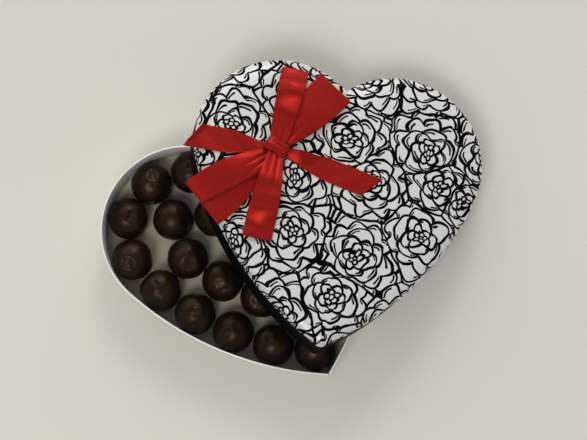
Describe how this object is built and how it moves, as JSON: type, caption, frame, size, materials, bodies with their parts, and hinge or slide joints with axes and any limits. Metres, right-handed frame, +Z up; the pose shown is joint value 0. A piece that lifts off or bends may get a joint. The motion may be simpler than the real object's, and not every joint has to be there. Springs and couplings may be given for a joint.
{
  "type": "valentine heart box",
  "caption": "Heart-shaped paperboard candy box of chocolate truffles, with its padded fabric lid and ribbon bow leaning open on the tray's rim.",
  "frame": {"origin": "middle of the tray's underside, on the surface that it stands on", "axes": "+Z up, +Y from the heart's tip to its notch, +X to the side where the lid leans down"},
  "size_m": [0.279, 0.2221, 0.0908],
  "materials": {
    "white_board": "satin",
    "liner_paper": "satin",
    "black_board": "satin",
    "grey_board": "matte",
    "wadding": "matte",
    "printed_satin": "satin",
    "red_satin": "satin",
    "dark_chocolate": "satin"
  },
  "bodies": {
    "tray": {"tray_base": "white_board", "tray_liner": "liner_paper", "tray_wall": "white_board", "truffle_centre": "dark_chocolate", "truffle_inner_left_1": "dark_chocolate", "truffle_inner_left_2": "dark_chocolate", "truffle_inner_left_5": "dark_chocolate", "truffle_inner_right_1": "dark_chocolate", "truffle_inner_right_2": "dark_chocolate", "truffle_inner_right_3": "dark_chocolate", "truffle_inner_right_4": "dark_chocolate", "truffle_inner_right_5": "dark_chocolate", "truffle_outer_left_1": "dark_chocolate", "truffle_outer_left_8": "dark_chocolate", "truffle_outer_right_1": "dark_chocolate", "truffle_outer_right_2": "dark_chocolate", "truffle_outer_right_3": "dark_chocolate", "truffle_outer_right_4": "dark_chocolate", "truffle_outer_right_5": "dark_chocolate", "truffle_outer_right_6": "dark_chocolate", "truffle_outer_right_7": "dark_chocolate", "truffle_outer_right_8": "dark_chocolate", "truffle_tip": "dark_chocolate"},
    "lid": {"lid_skirt": "black_board", "lid_board": "grey_board", "lid_padding": "wadding", "lid_cover": "printed_satin", "bow_tails": "red_satin", "bow_wide_loops": "red_satin", "bow_narrow_loops": "red_satin", "bow_knot_band": "red_satin"},
    "truffle_outer_left_2": {"truffle_outer_left_2": "dark_chocolate"},
    "truffle_outer_left_3": {"truffle_outer_left_3": "dark_chocolate"},
    "truffle_outer_left_4": {"truffle_outer_left_4": "dark_chocolate"},
    "truffle_outer_left_5": {"truffle_outer_left_5": "dark_chocolate"},
    "truffle_outer_left_6": {"truffle_outer_left_6": "dark_chocolate"},
    "truffle_outer_left_7": {"truffle_outer_left_7": "dark_chocolate"},
    "truffle_inner_left_3": {"truffle_inner_left_3": "dark_chocolate"},
    "truffle_inner_left_4": {"truffle_inner_left_4": "dark_chocolate"}
  },
  "joints": [
    {"name": "lid_lift", "type": "slide", "parent": "tray", "child": "lid", "axis": [0, 0, 1], "range_m": [0, 0.12]},
    {"name": "truffle_outer_left_2_lift", "type": "slide", "parent": "tray", "child": "truffle_outer_left_2", "axis": [0, 0, 1], "range_m": [0, 0.05]},
    {"name": "truffle_outer_left_3_lift", "type": "slide", "parent": "tray", "child": "truffle_outer_left_3", "axis": [0, 0, 1], "range_m": [0, 0.05]},
    {"name": "truffle_outer_left_4_lift", "type": "slide", "parent": "tray", "child": "truffle_outer_left_4", "axis": [0, 0, 1], "range_m": [0, 0.05]},
    {"name": "truffle_outer_left_5_lift", "type": "slide", "parent": "tray", "child": "truffle_outer_left_5", "axis": [0, 0, 1], "range_m": [0, 0.05]},
    {"name": "truffle_outer_left_6_lift", "type": "slide", "parent": "tray", "child": "truffle_outer_left_6", "axis": [0, 0, 1], "range_m": [0, 0.05]},
    {"name": "truffle_outer_left_7_lift", "type": "slide", "parent": "tray", "child": "truffle_outer_left_7", "axis": [0, 0, 1], "range_m": [0, 0.05]},
    {"name": "truffle_inner_left_3_lift", "type": "slide", "parent": "tray", "child": "truffle_inner_left_3", "axis": [0, 0, 1], "range_m": [0, 0.05]},
    {"name": "truffle_inner_left_4_lift", "type": "slide", "parent": "tray", "child": "truffle_inner_left_4", "axis": [0, 0, 1], "range_m": [0, 0.05]}
  ]
}
